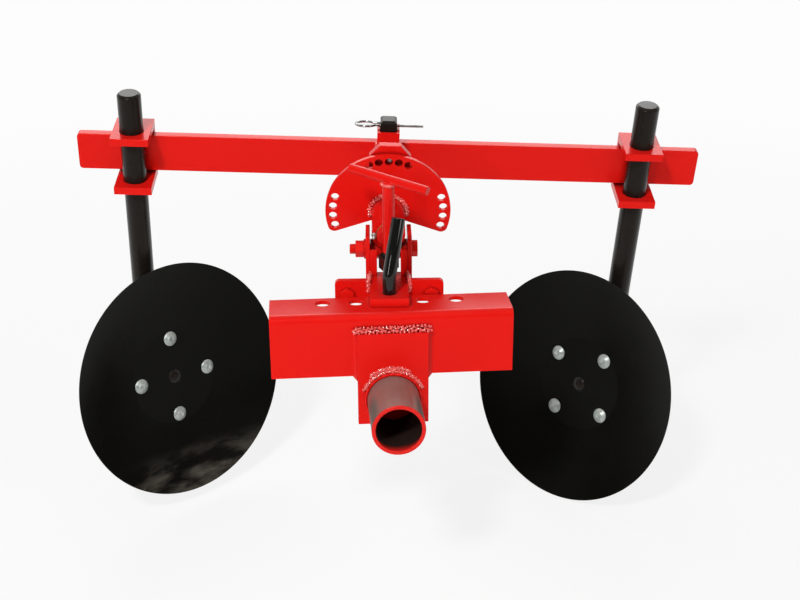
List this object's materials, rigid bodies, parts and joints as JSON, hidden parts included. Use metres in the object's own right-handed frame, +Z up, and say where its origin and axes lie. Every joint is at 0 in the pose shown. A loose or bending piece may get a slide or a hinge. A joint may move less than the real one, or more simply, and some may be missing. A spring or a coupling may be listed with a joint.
{
  "type": "walk behind ridger",
  "caption": "Walk-behind disc ridger: tube hitch, swinging tongue, depth screw, indexed roll head and a flat toolbar with clamped shanks that carry concave discs.",
  "frame": {"origin": "on the hitch tube's axis, at the front plate's front face", "axes": "+Z up, -Y along the hitch tube towards the tractor, +X to the right seen from the tractor"},
  "size_m": [0.8159, 0.4797, 0.5818],
  "materials": {
    "red_paint": "gloss",
    "black_paint": "satin",
    "disc_paint": "gloss",
    "bare_steel": "drawn",
    "zinc_plate": "bright",
    "bronze": "plain"
  },
  "bodies": {
    "hitch": {"hitch_tube": "bare_steel", "front_plate": "red_paint", "angle_bar": "red_paint"},
    "tongue": {"tongue_plate": "red_paint", "left_cheek": "red_paint", "right_cheek": "red_paint", "tongue_web": "red_paint", "left_wing": "red_paint", "right_wing": "red_paint", "swing_set_bolts": "red_paint", "swing_lock_nuts": "red_paint", "pivot_bolt": "red_paint", "pivot_nut": "red_paint", "pivot_washer": "red_paint"},
    "hitch_pin": {"hitch_pin": "black_paint"},
    "arm": {"pivot_housing": "red_paint", "pivot_bush": "bronze", "grease_nipple": "zinc_plate", "roll_tube": "red_paint", "roll_bushes": "bronze", "index_sector": "red_paint", "screw_nut": "black_paint"},
    "depth_screw": {"depth_screw": "black_paint"},
    "tee_handle": {"handle_rod": "red_paint", "tee_bar": "red_paint"},
    "head": {"roll_shaft": "bare_steel", "thrust_washers": "bare_steel", "retaining_ring": "bare_steel", "index_lug": "red_paint", "post": "black_paint", "sleeve": "red_paint", "toolbar": "red_paint"},
    "index_pin": {"index_pin": "bare_steel", "index_knob": "black_paint"},
    "r_clip": {"r_clip": "zinc_plate"},
    "left_clamp": {"left_clamp": "red_paint", "left_clamp_bolt": "zinc_plate"},
    "left_shank": {"left_shank": "black_paint"},
    "left_knuckle": {"left_knuckle": "black_paint", "left_knuckle_bolt": "zinc_plate", "left_axle_nut": "zinc_plate"},
    "left_disc": {"left_bearings": "bare_steel", "left_hub": "black_paint", "left_hub_cap": "black_paint", "left_disc": "disc_paint", "left_disc_bolts": "zinc_plate", "left_disc_nuts": "zinc_plate"},
    "right_clamp": {"right_clamp": "red_paint", "right_clamp_bolt": "zinc_plate"},
    "right_shank": {"right_shank": "black_paint"},
    "right_knuckle": {"right_knuckle": "black_paint", "right_knuckle_bolt": "zinc_plate", "right_axle_nut": "zinc_plate"},
    "right_disc": {"right_bearings": "bare_steel", "right_hub": "black_paint", "right_hub_cap": "black_paint", "right_disc": "disc_paint", "right_disc_bolts": "zinc_plate", "right_disc_nuts": "zinc_plate"}
  },
  "joints": [
    {"name": "tongue_swing", "type": "hinge", "parent": "hitch", "child": "tongue", "pos_m": [0, 0.05, 0.1015], "axis": [0, 0, 1], "range_deg": [-1.4, 8.6]},
    {"name": "hitch_pin_lift", "type": "slide", "parent": "tongue", "child": "hitch_pin", "axis": [0, 0, 1], "range_m": [0, 0.019]},
    {"name": "arm_pitch", "type": "hinge", "parent": "tongue", "child": "arm", "pos_m": [0.0054, 0.13583, 0.1357], "axis": [0.998, -0.0628, 0], "range_deg": [-6, 4]},
    {"name": "depth_screw_travel", "type": "slide", "parent": "arm", "child": "depth_screw", "axis": [-0.0134, -0.2126, 0.977], "range_m": [-0.0031, 0.0021]},
    {"name": "tee_handle_turn", "type": "hinge", "parent": "depth_screw", "child": "tee_handle", "pos_m": [0.00356, 0.10658, 0.12931], "axis": [-0.0134, -0.2126, 0.977], "range_deg": [-540, 360]},
    {"name": "head_roll", "type": "hinge", "parent": "arm", "child": "head", "pos_m": [0.00753, 0.16966, 0.17175], "axis": [0.0613, 0.9751, 0.213], "range_deg": [-21.7, 19.1]},
    {"name": "index_pin_push", "type": "slide", "parent": "head", "child": "index_pin", "axis": [-0.0613, -0.9751, -0.213], "range_m": [0, 0.007]},
    {"name": "r_clip_pull", "type": "slide", "parent": "head", "child": "r_clip", "axis": [-0.9977, 0.0535, 0.0426], "range_m": [0, 0.06]},
    {"name": "left_clamp_slide", "type": "slide", "parent": "head", "child": "left_clamp", "axis": [0.9977, -0.0535, -0.0426], "range_m": [-0.045, 0.12]},
    {"name": "left_shank_height", "type": "slide", "parent": "left_clamp", "child": "left_shank", "axis": [0.0302, -0.2151, 0.9761], "range_m": [-0.05, 0.1]},
    {"name": "left_disc_toe", "type": "hinge", "parent": "left_shank", "child": "left_knuckle", "pos_m": [-0.31961, 0.37118, -0.11334], "axis": [0.0302, -0.2151, 0.9761], "range_deg": [-20, 20]},
    {"name": "left_disc_spin", "type": "hinge", "parent": "left_knuckle", "child": "left_disc", "pos_m": [-0.27948, 0.31134, -0.10297], "axis": [0.6218, -0.768, 0.1535], "continuous": true},
    {"name": "right_clamp_slide", "type": "slide", "parent": "head", "child": "right_clamp", "axis": [0.9977, -0.0535, -0.0426], "range_m": [-0.12, 0.045]},
    {"name": "right_shank_height", "type": "slide", "parent": "right_clamp", "child": "right_shank", "axis": [0.0302, -0.2151, 0.9761], "range_m": [-0.05, 0.1]},
    {"name": "right_disc_toe", "type": "hinge", "parent": "right_shank", "child": "right_knuckle", "pos_m": [0.32986, 0.33638, -0.14108], "axis": [0.0302, -0.2151, 0.9761], "range_deg": [-20, 20]},
    {"name": "right_disc_spin", "type": "hinge", "parent": "right_knuckle", "child": "right_disc", "pos_m": [0.28116, 0.28435, -0.12625], "axis": [-0.7275, -0.6494, 0.2213], "continuous": true}
  ],
  "couplings": [
    {"joint": "depth_screw_travel", "follows": "arm_pitch", "m_per_rad": 0.027711},
    {"joint": "tee_handle_turn", "follows": "arm_pitch", "ratio": 87.055}
  ]
}
